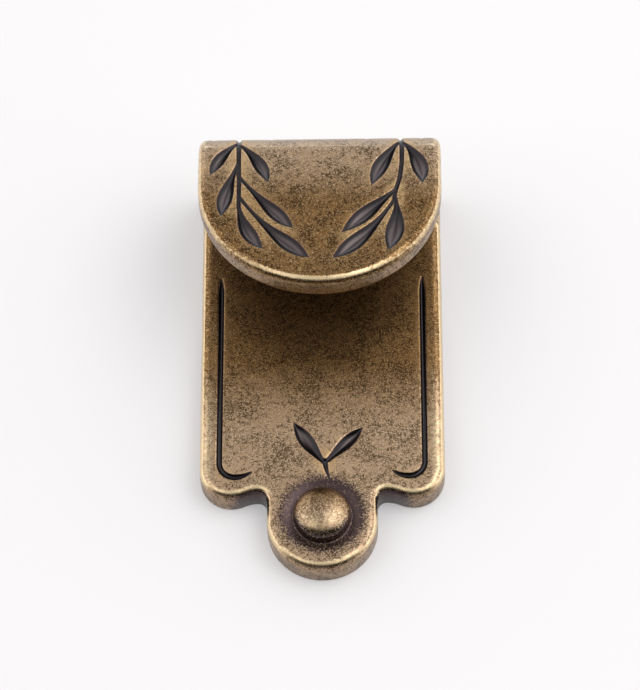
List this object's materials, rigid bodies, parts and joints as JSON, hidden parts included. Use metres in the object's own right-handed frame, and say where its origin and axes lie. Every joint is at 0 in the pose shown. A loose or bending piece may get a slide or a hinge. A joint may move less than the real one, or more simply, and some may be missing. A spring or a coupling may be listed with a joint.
{
  "type": "drawer pull",
  "caption": "One-piece cast brass drawer pull: ogee backplate with a button, turned over at one end into a half-moon finger flap carved with leaf sprigs.",
  "frame": {"origin": "middle of the back face, halfway along the length and on the centre line", "axes": "+Z away from the drawer front, +Y along the plate towards the wall and flap, +X to the right seen from the front with the flap up"},
  "size_m": [0.038, 0.068, 0.0241],
  "materials": {
    "antique_brass": "antiqued, dark in the recesses, rubbed bright on the edges, waxed satin"
  },
  "bodies": {
    "root": {"pull_casting": "antique_brass"}
  },
  "joints": []
}
